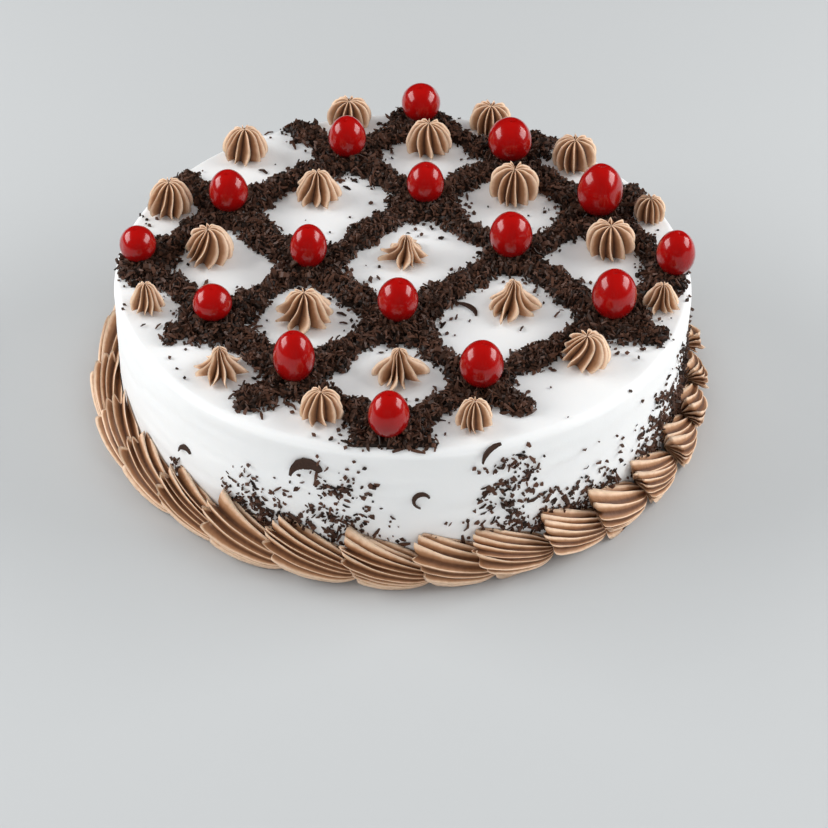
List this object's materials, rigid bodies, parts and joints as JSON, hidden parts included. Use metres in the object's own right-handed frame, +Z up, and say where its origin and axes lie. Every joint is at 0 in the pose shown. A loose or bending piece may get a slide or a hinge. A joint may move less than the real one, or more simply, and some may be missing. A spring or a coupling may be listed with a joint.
{
  "type": "black forest cake",
  "caption": "Round white cream cake with a lattice of grated chocolate, cherries and piped rosettes on top and a piped shell border round its foot.",
  "frame": {"origin": "middle of the cake's flat bottom, on the surface it stands on", "axes": "+Z up through the middle of the cake, -Y its front, and the chocolate lines run at 45 degrees to X and Y"},
  "size_m": [0.2376, 0.2373, 0.0791],
  "materials": {
    "white_cream": "whipped cream spread smooth, soft satin",
    "chocolate_cream": "piped chocolate cream, soft matt",
    "grated_chocolate": "dark grated chocolate, dull with a slight shine on its flat faces",
    "glazed_cherry": "syrup glaze, wet and glossy"
  },
  "bodies": {
    "root": {"cream_cake": "white_cream", "shell_border": "chocolate_cream", "chocolate_lattice": "grated_chocolate", "rosette_01": "chocolate_cream", "rosette_02": "chocolate_cream", "rosette_03": "chocolate_cream", "rosette_04": "chocolate_cream", "rosette_05": "chocolate_cream", "rosette_06": "chocolate_cream", "rosette_07": "chocolate_cream", "rosette_08": "chocolate_cream", "rosette_09": "chocolate_cream", "rosette_10": "chocolate_cream", "rosette_11": "chocolate_cream", "rosette_12": "chocolate_cream", "rosette_13": "chocolate_cream", "rosette_14": "chocolate_cream", "rosette_15": "chocolate_cream", "rosette_16": "chocolate_cream", "rosette_17": "chocolate_cream", "rosette_18": "chocolate_cream", "rosette_19": "chocolate_cream", "rosette_20": "chocolate_cream", "rosette_21": "chocolate_cream", "cherry_01": "glazed_cherry", "cherry_02": "glazed_cherry", "cherry_03": "glazed_cherry", "cherry_04": "glazed_cherry", "cherry_05": "glazed_cherry", "cherry_06": "glazed_cherry", "cherry_07": "glazed_cherry", "cherry_08": "glazed_cherry", "cherry_09": "glazed_cherry", "cherry_10": "glazed_cherry", "cherry_11": "glazed_cherry", "cherry_12": "glazed_cherry", "cherry_13": "glazed_cherry", "cherry_14": "glazed_cherry", "cherry_15": "glazed_cherry", "cherry_16": "glazed_cherry"}
  },
  "joints": []
}
